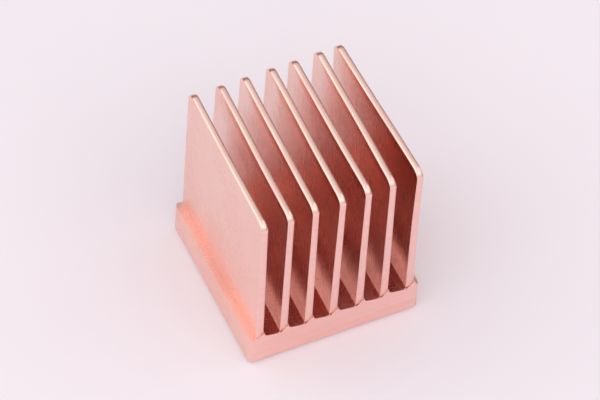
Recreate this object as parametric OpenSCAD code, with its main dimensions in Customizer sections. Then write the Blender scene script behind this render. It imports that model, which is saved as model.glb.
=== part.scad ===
// Skived copper heat sink in one piece: a bank of thin upright fins, each peeled up from the bar
// of copper that stays below them as the base. The bar is then sawn across into short sinks.
// X runs across the fins, Y along them and Z up. The origin is at the centre of the underside.

/* [Base] */
// Width of the base, across the fins
base_w = 6.5; // [5:0.1:12]
// Length of the base, along the fins
base_l = 6.5; // [4:0.1:15]
// Thickness of the base, up to the lowest line of its floor
base_t = 1.3; // [0.8:0.1:3]
// Bevel round the underside
base_bevel = 0.12; // [0.04:0.02:0.3]
// Radius of the base's four upright edges
base_edge_r = 0.15; // [0.05:0.05:0.4]

/* [Fins] */
// Height of the fins above the lowest line of the floor
fin_h = 6.7; // [3:0.1:9]
// Distance from one fin to the next
fin_pitch = 0.95; // [0.75:0.05:1.6]
// Thickness of a fin at its foot
fin_foot_t = 0.3; // [0.26:0.01:0.36]
// Thickness of a fin at its tip
fin_tip_t = 0.24; // [0.16:0.01:0.26]
// Least width of bare base outside the first and the last fin
fin_margin = 0.2; // [0.15:0.05:1]
// How far each end of a fin stands back from the end of the base
fin_setback = 0.05; // [0.02:0.01:0.3]
// Radius of the upper corners at both ends of a fin
fin_corner_r = 0.4; // [0.1:0.05:1]
// Radius of the crown along the tip
fin_crown_r = 0.16; // [0.14:0.01:0.4]

/* [Skiving marks] */
// Slope of the floor, in degrees, falling from the bend of one fin to the foot of the next
floor_slope = 12; // [4:1:18]
// Radius of the bend, where a fin was folded up out of the floor
bend_r = 0.2; // [0.1:0.02:0.3]
// The most that a fin leans to either side, in degrees
fin_lean = 0.6; // [0:0.1:1.2]
// The most that a fin is turned out of line in plan, in degrees
fin_turn = 1.1; // [0:0.1:1.4]

/* [Hidden] */
$fn = 64;

// As many fins as the width holds, in a bank that is centred on the base
fin_n = floor((base_w - 2 * fin_margin - fin_foot_t) / fin_pitch) + 1;
bank_w = (fin_n - 1) * fin_pitch;
fin_l = base_l - 2 * fin_setback;

// The floor climbs this much between two feet, and each foot is rooted this deep below it
floor_rise = fin_pitch * tan(floor_slope);
root_depth = base_t / 2;

// Round stretches stop a little short of tangent, so that they cut what they meet cleanly:
// the bend by this share of its radius, and the upper corners by this height above the crown
bend_bite = 0.03;
corner_lift = 0.01;

// The blade wanders slowly along the bank, with a quicker shiver on top. Angles in degrees a fin.
drift_step = 45;
shiver_step = 165;
shiver = 0.3;
lean_start = 285;
turn_start = 195;

function fin_x(i) = i * fin_pitch - bank_w / 2;

// Uneven but repeatable, between -1 and 1
function wander(i, start) =
    (1 - shiver) * sin(start + i * drift_step) + shiver * sin(start + i * shiver_step);

// Turns a profile drawn in X and Z into a bar that runs along Y
module along_y(length) {
    rotate([90, 0, 0])
        linear_extrude(height = length, center = true)
            children();
}

// Turns a profile drawn in Y and Z into a bar that runs along X
module along_x(length) {
    rotate([90, 0, 90])
        linear_extrude(height = length, center = true)
            children();
}

// The base: what the blade leaves below the fins

// The end view of a bar, with its two lower edges bevelled
module bevelled_end(width, height) {
    half = width / 2;
    polygon([
        [-half + base_bevel, 0], [half - base_bevel, 0], [half, base_bevel],
        [half, height], [-half, height], [-half, base_bevel],
    ]);
}

// The floor is a saw: each ramp falls to the right, and each step up is hidden inside a fin.
// A further tooth at each end carries the ramps out over the bare margins.
module floor_section() {
    teeth = [
        for (i = [-1:fin_n])
            each [[fin_x(i), base_t], [fin_x(i), base_t + floor_rise]]
    ];
    polygon([[fin_x(-1), -base_t], each teeth, [fin_x(fin_n), -base_t]]);
}

module rounded_plan(width, length, r) {
    square([width - 2 * r, length], center = true);
    square([width, length - 2 * r], center = true);
    for (x = [-1, 1], y = [-1, 1])
        translate([x * (width / 2 - r), y * (length / 2 - r)])
            circle(r);
}

module base() {
    top = base_t + 2 * floor_rise;
    intersection() {
        along_y(2 * base_l) floor_section();
        along_y(2 * base_l) bevelled_end(base_w, top);
        along_x(2 * base_w) bevelled_end(base_l, top);
        linear_extrude(height = top) rounded_plan(base_w, base_l, base_edge_r);
    }
}

// One fin, with the middle of its foot at the origin and the floor's lowest line at 0

// The section tapers to a tip that is crowned by an arc
module fin_section() {
    foot = fin_foot_t / 2;
    tip = fin_tip_t / 2;
    crown_z = fin_h - fin_crown_r;
    intersection() {
        polygon([
            [-foot, -root_depth], [foot, -root_depth], [foot, 0],
            [tip, fin_h], [-tip, fin_h], [-foot, 0],
        ]);
        union() {
            translate([-fin_foot_t, -root_depth])
                square([2 * fin_foot_t, root_depth + crown_z]);
            translate([0, crown_z])
                circle(fin_crown_r);
        }
    }
}

// The hollow curve on the right of the foot, between the fin and the ramp that falls away from it
module bend_section() {
    reach = bend_r * (1 - bend_bite);
    x = fin_foot_t / 2 + reach;
    z = floor_rise - x * tan(floor_slope) + reach / cos(floor_slope);
    toe = [x - reach * sin(floor_slope), z - reach * cos(floor_slope)];
    difference() {
        polygon([[0, -root_depth], [toe[0], -root_depth], toe, [x, z], [0, z]]);
        translate([x, z])
            circle(bend_r);
    }
}

// The fin seen from its flat side, with its upper corners rounded
module fin_outline() {
    r = fin_corner_r;
    top = fin_h + corner_lift;
    translate([-fin_l / 2, -root_depth])
        square([fin_l, root_depth + top - r]);
    translate([-fin_l / 2 + r, -root_depth])
        square([fin_l - 2 * r, root_depth + top]);
    for (y = [-1, 1])
        translate([y * (fin_l / 2 - r), top - r])
            circle(r);
}

module fin() {
    intersection() {
        along_y(2 * fin_l) fin_section();
        along_x(2 * fin_foot_t) fin_outline();
    }
    along_y(fin_l) bend_section();
}

module heat_sink() {
    color([0.86, 0.52, 0.42]) {
        base();
        for (i = [0:fin_n - 1])
            translate([fin_x(i), 0, base_t])
                rotate([0, fin_lean * wander(i, lean_start), fin_turn * wander(i, turn_start)])
                    fin();
    }
}

heat_sink();
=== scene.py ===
import math

import bmesh
import bpy
import numpy as np
from mathutils import Matrix, Vector
from mathutils.bvhtree import BVHTree


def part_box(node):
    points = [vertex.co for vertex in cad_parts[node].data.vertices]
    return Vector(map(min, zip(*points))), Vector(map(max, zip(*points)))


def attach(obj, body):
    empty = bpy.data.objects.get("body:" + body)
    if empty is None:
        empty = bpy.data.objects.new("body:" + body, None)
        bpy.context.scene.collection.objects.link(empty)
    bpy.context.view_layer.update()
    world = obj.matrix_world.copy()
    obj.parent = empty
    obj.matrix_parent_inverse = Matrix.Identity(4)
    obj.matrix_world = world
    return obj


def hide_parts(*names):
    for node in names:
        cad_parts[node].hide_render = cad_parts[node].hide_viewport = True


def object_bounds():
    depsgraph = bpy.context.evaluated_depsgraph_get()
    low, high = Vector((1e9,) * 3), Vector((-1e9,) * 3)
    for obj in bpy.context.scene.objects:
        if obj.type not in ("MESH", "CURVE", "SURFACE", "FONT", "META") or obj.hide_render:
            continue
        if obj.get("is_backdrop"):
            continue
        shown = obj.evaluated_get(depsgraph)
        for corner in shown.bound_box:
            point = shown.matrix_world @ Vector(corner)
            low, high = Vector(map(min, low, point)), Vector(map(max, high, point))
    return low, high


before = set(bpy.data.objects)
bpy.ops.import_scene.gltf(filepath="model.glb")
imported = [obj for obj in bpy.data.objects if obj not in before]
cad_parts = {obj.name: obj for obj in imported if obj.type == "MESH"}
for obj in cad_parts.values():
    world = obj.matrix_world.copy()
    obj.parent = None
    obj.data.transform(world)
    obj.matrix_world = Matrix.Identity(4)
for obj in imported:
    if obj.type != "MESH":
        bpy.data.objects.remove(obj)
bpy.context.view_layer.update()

bl_info = {
    "name": "Skived Heat Sink",
    "version": (1, 0, 0),
    "blender": (4, 5, 0),
    "location": "View3D > Sidebar > Heat Sink",
    "description": "Dresses a small skived copper heat sink and lights it in a plain studio",
    "category": "Object",
}

MM = 0.001
NODE = "heat_sink"
BODY = "root"

# Where the solid is measured: shares of its half length and of its height, and fin thicknesses to
# the left of a fin's left face, the further one first
PROBE_END = 0.8
PROBE_HEIGHTS = np.array([0.3, 0.9])
PROBE_FLOOR = np.array([0.6, 0.2])

# How many points the skin has round a fin's upper corner and round an upright edge of the base,
# from a fin's middle to its corner, in the rounding of a fin's edge, down its side, and in a bend
CORNER_POINTS = 19
UPRIGHT_POINTS = 9
LENGTH_POINTS = 14
EDGE_POINTS = 8
SIDE_POINTS = 17
BEND_POINTS = 9
# Edges of the skin that turn by more than this stay crisp
CREASE = math.radians(32)

# Names under which the skin keeps its marks for the material
# The first mark is painted shade: how far the copper is painted darker low in the gaps and in the
# corners at the outer fins' feet
PAINTED_SHADE = "painted_shade"
SAWN = "sawn"
# The share of a gap's depth from which the painted shade between the fins is full
FULL_SHADE_FROM = 0.6

# Each lamp's place from the sink's middle and its width in metres, and its power in watts
LAMPS = {
    "key": ((-0.23, 0.02, 0.23), 0.55, 0.66),
    "fill": ((0.24, -0.14, 0.24), 0.5, 0.3),
    "front": ((-0.04, -0.36, 0.15), 0.55, 0.6),
}
# Light crosses a gap many times before it leaves it
BOUNCES = 14
# Half the floor's width in metres
FLOOR_REACH = 1.5


# Settings


class HeatSinkShape(bpy.types.PropertyGroup):
    """How skiving, deburring and handling shape the sink's edges and fins"""

    corner_radius: bpy.props.FloatProperty(
        name="Fin corner radius",
        description="Radius of the upper corners at both ends of a fin",
        default=0.4 * MM, min=0.1 * MM, max=1.0 * MM, unit="LENGTH",
    )
    bend_radius: bpy.props.FloatProperty(
        name="Bend radius",
        description="Radius of the hollow bend at the right of each foot",
        default=0.2 * MM, min=0.1 * MM, max=0.3 * MM, unit="LENGTH",
    )
    edge_round: bpy.props.FloatProperty(
        name="Fin edge rounding",
        description="How far in from a fin's edge its faces begin to round over",
        default=0.045 * MM, min=0.01 * MM, max=0.1 * MM, unit="LENGTH",
    )
    base_edge_radius: bpy.props.FloatProperty(
        name="Base edge radius",
        description="Radius of the base's four upright edges",
        default=0.15 * MM, min=0.05 * MM, max=0.4 * MM, unit="LENGTH",
    )
    base_bevel: bpy.props.FloatProperty(
        name="Underside bevel",
        description="Bevel round the underside of the base",
        default=0.12 * MM, min=0.04 * MM, max=0.3 * MM, unit="LENGTH",
    )
    ripple: bpy.props.FloatProperty(
        name="Fin ripple",
        description="How far a thin fin strays from flat towards its tip",
        default=0.02 * MM, min=0.0, max=0.05 * MM, unit="LENGTH",
    )
    crest_waver: bpy.props.FloatProperty(
        name="Crest waver",
        description="How far a fin's top edge dips along its length",
        default=0.012 * MM, min=0.0, max=0.05 * MM, unit="LENGTH",
    )
    knock: bpy.props.FloatProperty(
        name="Knock",
        description="How far the last fin's top is twisted, inwards at the back and outwards in front",
        default=0.1 * MM, min=0.0, max=0.2 * MM, unit="LENGTH",
    )
    ripple_seed: bpy.props.IntProperty(
        name="Ripple seed",
        description="Starts the fins' ripples somewhere else",
        default=7, min=0,
    )


class CopperFinish(bpy.types.PropertyGroup):
    """The bare metal, with painted shade for the gaps and a partly painted highlight on the sawn ends
    """

    fresh: bpy.props.FloatVectorProperty(
        name="Fresh copper",
        description="Colour of the clean metal",
        default=(0.96, 0.62, 0.53), size=3, min=0.0, max=1.0, subtype="COLOR",
    )
    worn: bpy.props.FloatVectorProperty(
        name="Handled copper",
        description="Colour where the metal has begun to darken",
        default=(0.91, 0.54, 0.46), size=3, min=0.0, max=1.0, subtype="COLOR",
    )
    # Painted shade: the copper's colour darkened low in the gaps and in the corners at the outer fins'
    # feet
    painted_gap_shade: bpy.props.FloatVectorProperty(
        name="Copper between the fins",
        description="Colour low in the gaps, where nothing rubs it",
        default=(0.87, 0.575, 0.52), size=3, min=0.0, max=1.0, subtype="COLOR",
    )
    # Partly the sawn ends' own finish and partly a painted highlight: lighter than the clean metal
    sawn: bpy.props.FloatVectorProperty(
        name="Sawn copper",
        description="Colour of the front and back, where the bar was sawn",
        default=(0.98, 0.64, 0.59), size=3, min=0.0, max=1.0, subtype="COLOR",
    )
    smooth: bpy.props.FloatProperty(
        name="Least roughness",
        description="Roughness where the blade left it brightest",
        default=0.22, min=0.02, max=1.0, subtype="FACTOR",
    )
    satin: bpy.props.FloatProperty(
        name="Dulled roughness",
        description="Roughness where the surface has dulled",
        default=0.34, min=0.02, max=1.0, subtype="FACTOR",
    )
    scored: bpy.props.FloatProperty(
        name="Sawn roughness",
        description="Roughness of the front and back, where the bar was sawn",
        default=0.44, min=0.02, max=1.0, subtype="FACTOR",
    )


class StudioSettings(bpy.types.PropertyGroup):
    """Floor, lamps and camera"""

    floor_colour: bpy.props.FloatVectorProperty(
        name="Floor",
        description="Colour of the floor",
        default=(0.86, 0.80, 0.84), size=3, min=0.0, max=1.0, subtype="COLOR",
    )
    azimuth: bpy.props.FloatProperty(
        name="Azimuth",
        description="Turn of the camera round the sink",
        default=math.radians(-27.8), subtype="ANGLE", unit="ROTATION",
    )
    elevation: bpy.props.FloatProperty(
        name="Elevation",
        description="Height of the camera above the horizon",
        default=math.radians(54.1), subtype="ANGLE", unit="ROTATION",
    )
    roll: bpy.props.FloatProperty(
        name="Roll",
        description="Turn of the camera about its own line of sight",
        default=math.radians(4.2), subtype="ANGLE", unit="ROTATION",
    )
    distance: bpy.props.FloatProperty(
        name="Distance",
        description="Distance from the camera to the sink",
        default=0.45, min=0.05, unit="LENGTH",
    )
    picture_width: bpy.props.FloatProperty(
        name="Picture width",
        description="Width that the picture takes in at the sink",
        default=21 * MM, min=8 * MM, unit="LENGTH",
    )


# Measuring the solid


def crossings(tree, start, direction):
    """Distances along a ray at which it enters and leaves the metal, as rows of two.

    After each hit the ray starts again a tenth of a micrometre further on."""
    step = 1e-7
    found, gone = [], 0.0
    while True:
        hit = tree.ray_cast(start + direction * gone, direction)
        if hit[0] is None:
            break
        gone += hit[3] + step
        found.append(gone)
    return np.array(found[: len(found) // 2 * 2]).reshape(-1, 2)


class Solid:
    """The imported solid: its box, its fins as sheets x = centre(y, z) of thickness(z), and its floor.

    Four lines across the bank, near the front and the back and near the foot and the tip, give
    each fin's middle. Between them it is linear in y and in z."""

    def __init__(self, node):
        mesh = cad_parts[node].data
        corners = [v.co.copy() for v in mesh.vertices]
        tree = BVHTree.FromPolygons(corners, [list(p.vertices) for p in mesh.polygons])
        low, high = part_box(node)
        self.side, self.end, self.top = high.x, high.y, high.z
        self.y_probe = PROBE_END * self.end
        self.z_probe = PROBE_HEIGHTS * self.top
        self.measure_fins(tree)
        self.measure_floor(tree)

    def measure_fins(self, tree):
        """Number, middles, thickness and pitch of the fins, and how far along Y they reach.

        The reach is rounded to a micrometre, which takes the ray's small error off it."""
        start = -2 * self.side
        lines = [
            crossings(tree, Vector((start, y, z)), Vector((1, 0, 0)))
            for z in self.z_probe
            for y in (-self.y_probe, self.y_probe)
        ]
        self.middles = start + np.mean(lines, axis=2).reshape(2, 2, -1)
        self.widths = np.ptp(lines, axis=2).reshape(2, -1).mean(axis=1)
        self.count = self.middles.shape[2]
        self.pitch = np.diff(self.middles[0].mean(axis=0)).mean()
        aim = Vector((self.middles[0, :, 0].mean(), -2 * self.end, self.z_probe[0]))
        self.fin_end = round(np.ptp(crossings(tree, aim, Vector((0, 1, 0)))) / 2, 6)

    def measure_floor(self, tree):
        """Height of the floor against a fin's left face, and its fall for each metre to the right"""
        face = self.middles[0, :, 1].mean() - self.widths[0] / 2
        spots = face - self.widths[0] * PROBE_FLOOR
        down = Vector((0, 0, -1))
        far, near = [tree.ray_cast(Vector((x, 0, 2 * self.top)), down)[0].z for x in spots]
        self.floor_fall = (far - near) / np.ptp(spots)
        self.floor_z = near - PROBE_FLOOR[1] * self.widths[0] * self.floor_fall

    def centre(self, y, z):
        """Middle of every fin at (y, z), linear in both. The fins lie along the last axis but one"""
        across = (y / self.y_probe + 1) / 2
        up = (z - self.z_probe[0]) / np.ptp(self.z_probe)
        middles = self.middles[..., None]
        foot = middles[0, 0] + (middles[0, 1] - middles[0, 0]) * across
        tip = middles[1, 0] + (middles[1, 1] - middles[1, 0]) * across
        return foot + (tip - foot) * up

    def thickness(self, z):
        """Thickness of a fin at z, linear in z"""
        up = (z - self.z_probe[0]) / np.ptp(self.z_probe)
        return self.widths[0] + (self.widths[1] - self.widths[0]) * up


# The skin


def quarter(count):
    """Angles from 0 to a right angle"""
    return np.linspace(0, math.pi / 2, count)


def rounded(depth, reach):
    """Share of the full thickness at a depth below an edge: a quarter of an ellipse, 0 at the edge
    and beyond it, and 1 from reach inwards"""
    left = 1 - np.clip(depth / reach, 0, 1)
    return np.sqrt(1 - left**2)


def stations(solid, shape):
    """Places along Y where the skin is cut, and whether each lies beyond the fins' ends.

    They turn evenly round the fins' upper corners and the base's upright edges. Each fin's end has
    two: the last with the fin, and the first without."""
    corner, edge = shape.corner_radius, shape.base_edge_radius
    fin = solid.fin_end - corner * (1 - np.sin(quarter(CORNER_POINTS)))
    base = solid.end - np.append(edge * (1 - np.cos(quarter(UPRIGHT_POINTS))), shape.base_bevel)
    middle = np.linspace(0, solid.fin_end - corner, LENGTH_POINTS)[1:-1]
    inner = np.unique(np.round(np.concatenate([middle, fin, base[base < solid.fin_end]]), 9))
    outer = np.unique(np.round(np.append(base[base > solid.fin_end], solid.fin_end), 9))
    half = np.append(inner, outer)
    beyond = np.append(np.zeros(inner.size, bool), np.ones(outer.size, bool))
    return np.append(-half[::-1], half), np.append(beyond[::-1], beyond)


def strays(solid, shape, floor, y, z):
    """How far the fins stray from flat at (y, z), growing with the square of the height.

    Each has three sine waves along its length, of one, two and three times the slowest one's
    angle, which slide along it as they climb. The last fin is also twisted in proportion to y."""
    slowest, drift = 1.1, 1.5
    random = np.random.default_rng(shape.ripple_seed)
    phases = random.uniform(0, 2 * math.pi, (3, solid.count, 1))
    sizes = random.uniform(0.3, 1.0, (3, solid.count, 1))
    climb = np.clip((z - floor.right_z) / (solid.top - floor.right_z), 0, 1) ** 2
    turns = [
        np.sin(slowest * (k + 1) * y / solid.fin_end + phases[k] + drift * climb) for k in range(3)
    ]
    waves = sum(size * turn for size, turn in zip(sizes, turns)) / sizes.sum(axis=0)
    last = (np.arange(solid.count) == solid.count - 1)[:, None]
    return climb * (shape.ripple * waves - shape.knock * last * y / solid.fin_end)


class Floor:
    """The floor against one fin, as offsets from the fin's middle.

    A straight ramp falls to the fin's left face. From the right face a hollow arc, a little under a
    quarter circle, leads to the next ramp and touches both. The line between the fin's two feet
    passes its middle at middle_z, where its ends close."""

    def __init__(self, solid, shape):
        reach, fall = shape.bend_radius, solid.floor_fall
        slope = math.atan(fall)
        self.left_z = solid.floor_z
        self.face = solid.thickness(self.left_z) / 2
        run = solid.pitch - 2 * self.face - reach
        heart_x = self.face + reach
        self.right_z = self.left_z + run * fall + reach / math.cos(slope)
        sweep = np.linspace(math.pi, 1.5 * math.pi - slope, BEND_POINTS)
        self.bend_x = heart_x + reach * np.cos(sweep)
        self.bend_z = self.right_z + reach * np.sin(sweep)
        self.middle_z = (self.left_z + self.right_z) / 2


def fin_side(solid, shape, floor, y, beyond, sign):
    """One side of every fin, from the crest down to the foot, as x and z.

    The crest drops round a quarter circle at each end, and dips along a sine wave that starts
    further on in each fin. The half thickness is the tapering sheet's, times a quarter ellipse of
    the depth below the crest and another of the depth from the end. Beyond the end, the side
    shrinks to a point on the line between the fin's feet."""
    corner, reach = shape.corner_radius, shape.edge_round
    waver_turn, waver_step = 5, 2.4
    over = np.clip(np.abs(y) - (solid.fin_end - corner), 0, corner)
    places = np.arange(solid.count)[:, None]
    turn = waver_turn * y / solid.fin_end + waver_step * places
    waver = shape.crest_waver * (0.5 + 0.5 * np.sin(turn))
    crest = solid.top - corner + np.sqrt(corner**2 - over**2) - waver
    end_share = rounded(solid.fin_end - np.abs(y), reach)
    full_z = floor.left_z if sign < 0 else floor.right_z
    foot = floor.middle_z + (full_z - floor.middle_z) * end_share
    rows = np.linspace(0, 1, SIDE_POINTS)[1:]
    near = crest - reach * (1 - np.cos(quarter(EDGE_POINTS)))
    z = np.concatenate([near, crest - reach + (foot - crest + reach) * rows], axis=-1)
    z = np.where(beyond, floor.middle_z, z)
    spread = solid.thickness(z) / 2 * rounded(crest - z, reach) * end_share
    spread[..., -1:] = floor.face * end_share
    middle = solid.centre(y, z) + strays(solid, shape, floor, y, z)
    middle[..., -1:] = solid.centre(y, floor.middle_z)
    return middle + sign * spread, z


def teeth(solid, shape, floor, y, beyond):
    """Every fin from its left foot over the crest to the end of its bend, as x and z.

    It also tells which of a fin's points are on its left side, and which are on the fin itself."""
    left_x, left_z = fin_side(solid, shape, floor, y, beyond, -1)
    right_x, right_z = fin_side(solid, shape, floor, y, beyond, 1)
    foot_x = solid.centre(y, floor.middle_z)
    level = np.zeros_like(foot_x)
    x = [foot_x - floor.face, left_x[..., ::-1], right_x[..., 1:], foot_x + floor.bend_x]
    z = [level + floor.left_z, left_z[..., ::-1], right_z[..., 1:], level + floor.bend_z]
    x, z = np.concatenate(x, axis=-1), np.concatenate(z, axis=-1)
    point = np.arange(x.shape[-1])
    on_left = point < left_x.shape[-1]
    on_fin = (point > 0) & (point < left_x.shape[-1] + right_x.shape[-1] - 1)
    return x, z, on_left, on_fin


def walls(solid, shape, floor, y):
    """Six points for each station: down the base's right wall, along the underside and up the left.

    A wall is drawn in by the quarter circle of the upright edges. The underside rises, and is drawn
    in less, by the part of the bevel that the station's depth has not passed. The ramps run on at
    their own slope until they meet the walls."""
    feet = solid.centre(y, floor.middle_z)[..., 0]
    depth = solid.end - np.abs(y[:, 0, 0])
    edge, bevel = shape.base_edge_radius, shape.base_bevel
    wall = solid.side - edge + np.sqrt(edge**2 - np.clip(edge - depth, 0, edge) ** 2)
    rise = np.clip(bevel - depth, 0, bevel)
    bottom = bevel + 0 * rise
    first = feet[:, 0] - floor.face
    after = feet[:, -1] + solid.pitch - floor.face
    left_top = floor.left_z + (first + wall) * solid.floor_fall
    right_top = floor.left_z + (after - wall) * solid.floor_fall
    x = np.stack([wall, wall, wall - bevel + rise, bevel - wall - rise, -wall, -wall], axis=-1)
    z = np.stack([right_top, bottom, rise, rise, bottom, left_top], axis=-1)
    return x, z


def sunken(solid, shape, floor, z, on_left):
    """How much painted shade each point of the teeth gets, from 0 to 1, by how low it lies.

    Between the fins it is the share of the way from the highest crest to the floor. On the two
    outer sides it fades from FULL_SHADE_FROM in the corner to 0 at four bend radii above it."""
    corner_reach = 4 * shape.bend_radius
    places = np.arange(solid.count)[:, None]
    between_fins = np.where(on_left, places > 0, places < solid.count - 1)
    in_gap = np.clip((solid.top - z) / (solid.top - floor.middle_z), 0, 1)
    in_corner = FULL_SHADE_FROM * np.clip(1 - (z - floor.right_z) / corner_reach, 0, 1)
    return np.where(between_fins, in_gap, in_corner)


def sink_mesh(name, solid, shape):
    """The whole sink as one skin over closed loops across X, set along Y.

    A loop runs over the teeth from left to right, then round the base's walls and underside. Each
    fin's end has closed by its last station, so between that and the first station beyond it no
    faces are made on the fins. The ends are marked as sawn, fading out over the width of the edge
    rounding, and get painted shade only as far as they are not sawn."""
    floor = Floor(solid, shape)
    flat_y, beyond = stations(solid, shape)
    y = flat_y[:, None, None]
    tooth_x, tooth_z, on_left, on_fin = teeth(solid, shape, floor, y, beyond[:, None, None])
    wall_x, wall_z = walls(solid, shape, floor, y)
    x = np.concatenate([tooth_x.reshape(flat_y.size, -1), wall_x], axis=1)
    z = np.concatenate([tooth_z.reshape(flat_y.size, -1), wall_z], axis=1)
    points = np.stack([x, np.broadcast_to(flat_y[:, None], x.shape), z], axis=-1)

    on_fin = np.append(np.tile(on_fin, solid.count), np.zeros(wall_x.shape[1], bool))
    at_end = beyond[:-1] != beyond[1:]
    keep = ~(at_end[:, None] & on_fin)

    from_cut = np.where(on_fin, solid.fin_end, solid.end) - np.abs(points[..., 1])
    sawn = 1 - np.clip(from_cut / shape.edge_round, 0, 1)
    # Painted shade for the gaps and the outer corners, none on the sawn ends
    sunk = sunken(solid, shape, floor, tooth_z, on_left)
    painted_shade = np.append(sunk.reshape(flat_y.size, -1), 0 * wall_x, axis=1) * (1 - sawn)
    return skin(name, points, keep, {PAINTED_SHADE: painted_shade, SAWN: sawn})


def skin(name, points, keep, marks):
    """Joins each loop of points to the next by a ring of quads, where keep allows it, and closes
    both ends with one face each. Points that meet are merged. Marks are numbers at each point."""
    loops, around = points.shape[:2]
    index = np.arange(loops * around).reshape(loops, around)
    here, there = index[:-1], index[1:]
    quads = np.stack([here, np.roll(here, -1, axis=1), np.roll(there, -1, axis=1), there], axis=-1)
    faces = quads[keep].tolist() + [index[0][::-1].tolist(), index[-1].tolist()]
    mesh = bpy.data.meshes.new(name)
    mesh.from_pydata(points.reshape(-1, 3).tolist(), [], faces)
    for mark, values in marks.items():
        mesh.attributes.new(mark, "FLOAT", "POINT").data.foreach_set("value", values.ravel())
    work = bmesh.new()
    work.from_mesh(mesh)
    bmesh.ops.remove_doubles(work, verts=work.verts, dist=1e-8)
    bmesh.ops.recalc_face_normals(work, faces=work.faces)
    work.to_mesh(mesh)
    work.free()
    return mesh


# Materials


class Nodes:
    """A short way to add and link the nodes of one material or world"""

    def __init__(self, tree):
        self.tree = tree
        tree.nodes.clear()

    def add(self, kind, inputs=None, **settings):
        """A new node with these settings, and a link or a plain value for each of these inputs"""
        node = self.tree.nodes.new(kind)
        for key, value in settings.items():
            setattr(node, key, value)
        for key, value in (inputs or {}).items():
            self.feed(node.inputs[key], value)
        return node

    def feed(self, socket, value):
        """Links another node's output to the socket, or gives the socket a plain value"""
        if isinstance(value, bpy.types.NodeSocket):
            self.tree.links.new(value, socket)
        else:
            socket.default_value = value


def stretched_noise(nodes, place, per_mm, detail=3.0, roughness=0.5):
    """Noise whose grain is per_mm = (x, y, z) cycles a millimetre along each axis"""
    spread = nodes.add(
        "ShaderNodeMapping",
        {"Vector": place, "Scale": tuple(c / MM for c in per_mm)},
    )
    noise = nodes.add(
        "ShaderNodeTexNoise",
        {"Vector": spread.outputs["Vector"], "Scale": 1.0, "Detail": detail, "Roughness": roughness},
    )
    return noise.outputs["Fac"]


def between(nodes, value, low, high, out_low=0.0, out_high=1.0):
    """A value's place between low and high, held there, carried to out_low and out_high"""
    node = nodes.add(
        "ShaderNodeMapRange",
        {"Value": value, "From Min": low, "From Max": high, "To Min": out_low, "To Max": out_high},
    )
    return node.outputs["Result"]


def mixed(nodes, share, first, second, kind="FLOAT"):
    """First, second or between them, by share. A colour mix has its own set of sockets"""
    node = nodes.add("ShaderNodeMix", {0: share}, data_type=kind)
    one, other, result = (6, 7, 2) if kind == "RGBA" else (2, 3, 0)
    nodes.feed(node.inputs[one], first)
    nodes.feed(node.inputs[other], second)
    return node.outputs[result]


def copper_material(finish):
    """Bare copper: lines from the blade that run up the fins, a fine grain, and patches that have
    dulled. Painted shade darkens it towards the bottom of the gaps and in the outer corners. The
    sawn ends are rougher and scored across, and lighter, partly as a painted highlight."""
    material = bpy.data.materials.new("skived_copper")
    material.use_nodes = True
    nodes = Nodes(material.node_tree)
    place = nodes.add("ShaderNodeTexCoord").outputs["Object"]
    sunk = nodes.add("ShaderNodeAttribute", attribute_name=PAINTED_SHADE).outputs["Fac"]
    cut = nodes.add("ShaderNodeAttribute", attribute_name=SAWN).outputs["Fac"]
    patches = stretched_noise(nodes, place, (0.9, 0.45, 0.35), detail=4.0, roughness=0.6)
    blade_lines = stretched_noise(nodes, place, (9.0, 14.0, 0.5), detail=4.0, roughness=0.65)
    saw_lines = stretched_noise(nodes, place, (0.35, 1.0, 6.0), detail=5.0, roughness=0.7)
    grain = stretched_noise(nodes, place, (26.0, 26.0, 26.0), detail=2.0)

    dulled = between(nodes, patches, 0.4, 0.75, 0.0, 0.7)
    colour = mixed(nodes, dulled, (*finish.fresh, 1), (*finish.worn, 1), "RGBA")
    # Painted shade: darker copper low in the gaps and in the outer corners
    shade_share = between(nodes, sunk, 0.05, FULL_SHADE_FROM)
    colour = mixed(nodes, shade_share, colour, (*finish.painted_gap_shade, 1), "RGBA")
    # The sawn ends' lighter colour is partly a painted highlight; the darker score lines across them
    # are real
    scores = between(nodes, saw_lines, 0.4, 0.7, 0.0, 0.6)
    sawn = mixed(nodes, scores, (*finish.sawn, 1), (*finish.worn, 1), "RGBA")
    colour = mixed(nodes, cut, colour, sawn, "RGBA")

    lines = mixed(nodes, cut, blade_lines, saw_lines)
    roughness = between(nodes, patches, 0.42, 0.68, finish.smooth, finish.satin)
    roughness = mixed(nodes, cut, roughness, finish.scored)
    streaks = between(nodes, lines, 0.35, 0.65, -0.04, 0.04)
    roughness = nodes.add("ShaderNodeMath", {0: roughness, 1: streaks}).outputs["Value"]
    depth = mixed(nodes, cut, 0.1, 1.0)
    relief = nodes.add(
        "ShaderNodeBump",
        {"Height": lines, "Strength": depth, "Distance": 0.02 * MM},
    ).outputs["Normal"]
    relief = nodes.add(
        "ShaderNodeBump",
        {"Height": grain, "Strength": 0.15, "Distance": 0.004 * MM, "Normal": relief},
    ).outputs["Normal"]
    shader = nodes.add(
        "ShaderNodeBsdfPrincipled",
        {
            "Base Color": colour,
            "Metallic": 1.0,
            "Roughness": roughness,
            "Normal": relief,
        },
    )
    nodes.add("ShaderNodeOutputMaterial", {"Surface": shader.outputs["BSDF"]})
    return material


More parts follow.
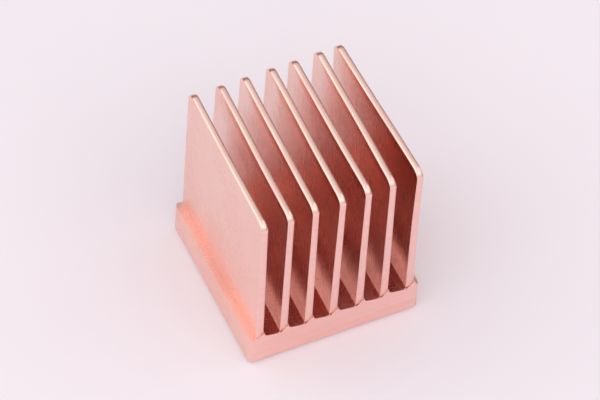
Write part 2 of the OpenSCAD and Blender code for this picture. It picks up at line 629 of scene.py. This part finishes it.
def floor_material(studio):
    """A matt floor with a faint mottle, darker by one per cent at most"""
    material = bpy.data.materials.new("studio_floor")
    material.use_nodes = True
    nodes = Nodes(material.node_tree)
    place = nodes.add("ShaderNodeTexCoord").outputs["Object"]
    mottle = stretched_noise(nodes, place, (0.15, 0.15, 0.15), detail=3.0)
    share = between(nodes, mottle, 0.3, 0.7, 0.0, 0.15)
    darkened = 0.94
    shade = [darkened * c for c in studio.floor_colour]
    colour = mixed(nodes, share, (*studio.floor_colour, 1), (*shade, 1), "RGBA")
    shader = nodes.add(
        "ShaderNodeBsdfPrincipled",
        {"Base Color": colour, "Roughness": 0.9, "Specular IOR Level": 0.2},
    )
    nodes.add("ShaderNodeOutputMaterial", {"Surface": shader.outputs["BSDF"]})
    return material


# Operators


class SINK_OT_dress(bpy.types.Operator):
    """Replace the solid by the same sink with deburred edges and faintly rippled fins"""

    bl_idname = "sink.dress"
    bl_label = "Skived fins and base"

    def execute(self, context):
        shape, finish = context.scene.sink_shape, context.scene.copper_finish
        solid = Solid(NODE)
        if solid.count < 2:
            raise RuntimeError("the solid shows fewer than two fins to measure")
        sink = bpy.data.objects.new("skived_sink", sink_mesh("skived_sink", solid, shape))
        context.scene.collection.objects.link(sink)
        sink.data.materials.append(copper_material(finish))
        sink.data.shade_smooth()
        sink.data.set_sharp_from_angle(angle=CREASE)
        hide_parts(NODE)
        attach(sink, BODY)
        return {"FINISHED"}


class SINK_OT_studio(bpy.types.Operator):
    """Lay a plain pale floor and add soft lamps, a pale surround and the camera"""

    bl_idname = "sink.studio"
    bl_label = "Studio"

    def execute(self, context):
        scene, studio = context.scene, context.scene.sink_studio
        low, high = (Vector(c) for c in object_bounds())
        middle = (low + high) / 2
        self.lay_floor(scene, studio, low.z)
        self.hang_lamps(scene, middle)
        self.surround(scene)
        self.place_camera(scene, studio, middle)
        scene.view_settings.view_transform = "Standard"
        scene.cycles.max_bounces = BOUNCES
        scene.cycles.glossy_bounces = BOUNCES
        return {"FINISHED"}

    def lay_floor(self, scene, studio, level):
        """A square at the underside's level"""
        near, far = -FLOOR_REACH, FLOOR_REACH
        corners = [(near, near, level), (far, near, level), (far, far, level), (near, far, level)]
        mesh = bpy.data.meshes.new("floor")
        mesh.from_pydata(corners, [], [(0, 1, 2, 3)])
        mesh.materials.append(floor_material(studio))
        floor = bpy.data.objects.new("floor", mesh)
        scene.collection.objects.link(floor)
        floor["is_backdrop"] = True

    def hang_lamps(self, scene, middle):
        """Square lamps that face the sink and stay out of the picture"""
        for name, (offset, size, power) in LAMPS.items():
            light = bpy.data.lights.new(name, "AREA")
            light.size, light.energy = size, power
            lamp = bpy.data.objects.new(name, light)
            lamp.location = middle + Vector(offset)
            lamp.rotation_mode = "QUATERNION"
            lamp.rotation_quaternion = Vector(offset).to_track_quat("Z", "Y")
            lamp.visible_camera = False
            scene.collection.objects.link(lamp)

    def surround(self, scene):
        """Pale all round to the camera, and dimmer as a light. In the metal's reflections it is pale
        overhead and dims towards the horizon, by the sine of the angle above it"""
        to_camera, as_light = 1.0, 0.68
        pale, dim = 0.97, 0.2
        world = bpy.data.worlds.new("surround")
        world.use_nodes = True
        nodes = Nodes(world.node_tree)
        path = nodes.add("ShaderNodeLightPath")
        way = nodes.add("ShaderNodeTexCoord").outputs["Object"]
        height = nodes.add("ShaderNodeSeparateXYZ", {"Vector": way}).outputs["Z"]
        mirrored = between(nodes, height, 0.3, 0.85, dim, pale)
        lit = mixed(nodes, path.outputs["Is Glossy Ray"], as_light, mirrored)
        strength = mixed(nodes, path.outputs["Is Camera Ray"], lit, to_camera)
        sky = nodes.add("ShaderNodeBackground", {"Color": (0.98, 0.95, 0.975, 1), "Strength": strength})
        nodes.add("ShaderNodeOutputWorld", {"Surface": sky.outputs["Background"]})
        scene.world = world

    def place_camera(self, scene, studio, middle):
        """At azimuth 0 the camera looks along +Y. The lens shows picture_width at the middle"""
        turn, climb = studio.azimuth, studio.elevation
        level = math.cos(climb)
        back = Vector((math.sin(turn) * level, -math.cos(turn) * level, math.sin(climb)))
        lens = bpy.data.cameras.new("camera")
        lens.lens = lens.sensor_width * studio.distance / studio.picture_width
        lens.clip_start, lens.clip_end = 0.1 * studio.distance, 20 * studio.distance
        camera = bpy.data.objects.new("camera", lens)
        camera.rotation_mode = "QUATERNION"
        camera.location = middle + back * studio.distance
        upright = (-back).to_track_quat("-Z", "Y")
        camera.rotation_quaternion = upright @ Matrix.Rotation(studio.roll, 3, "Z").to_quaternion()
        scene.collection.objects.link(camera)
        scene.camera = camera


class SINK_PT_panel(bpy.types.Panel):
    """Shows the sink's settings, its studio's settings and the operators' buttons"""

    bl_idname = "SINK_PT_panel"
    bl_label = "Heat Sink"
    bl_space_type = "VIEW_3D"
    bl_region_type = "UI"
    bl_category = "Heat Sink"

    def draw(self, context):
        scene = context.scene
        for group in (scene.sink_shape, scene.copper_finish, scene.sink_studio):
            box = self.layout.box()
            for name in group.bl_rna.properties.keys():
                if name not in {"rna_type", "name"}:
                    box.prop(group, name)
        for operator in OPERATORS:
            self.layout.operator(operator.bl_idname)


GROUPS = {
    "sink_shape": HeatSinkShape,
    "copper_finish": CopperFinish,
    "sink_studio": StudioSettings,
}
OPERATORS = (SINK_OT_dress, SINK_OT_studio)


def register():
    """Adds the settings, the operators and the panel to Blender"""
    for cls in (*GROUPS.values(), *OPERATORS, SINK_PT_panel):
        bpy.utils.register_class(cls)
    for name, group in GROUPS.items():
        setattr(bpy.types.Scene, name, bpy.props.PointerProperty(type=group))


def unregister():
    """Takes away what register adds"""
    for name in GROUPS:
        delattr(bpy.types.Scene, name)
    for cls in (SINK_PT_panel, *reversed(OPERATORS), *reversed(GROUPS.values())):
        bpy.utils.unregister_class(cls)


def main():
    """Makes the sink and its studio"""
    register()
    bpy.ops.sink.dress()
    bpy.ops.sink.studio()


if __name__ == "__main__":
    main()
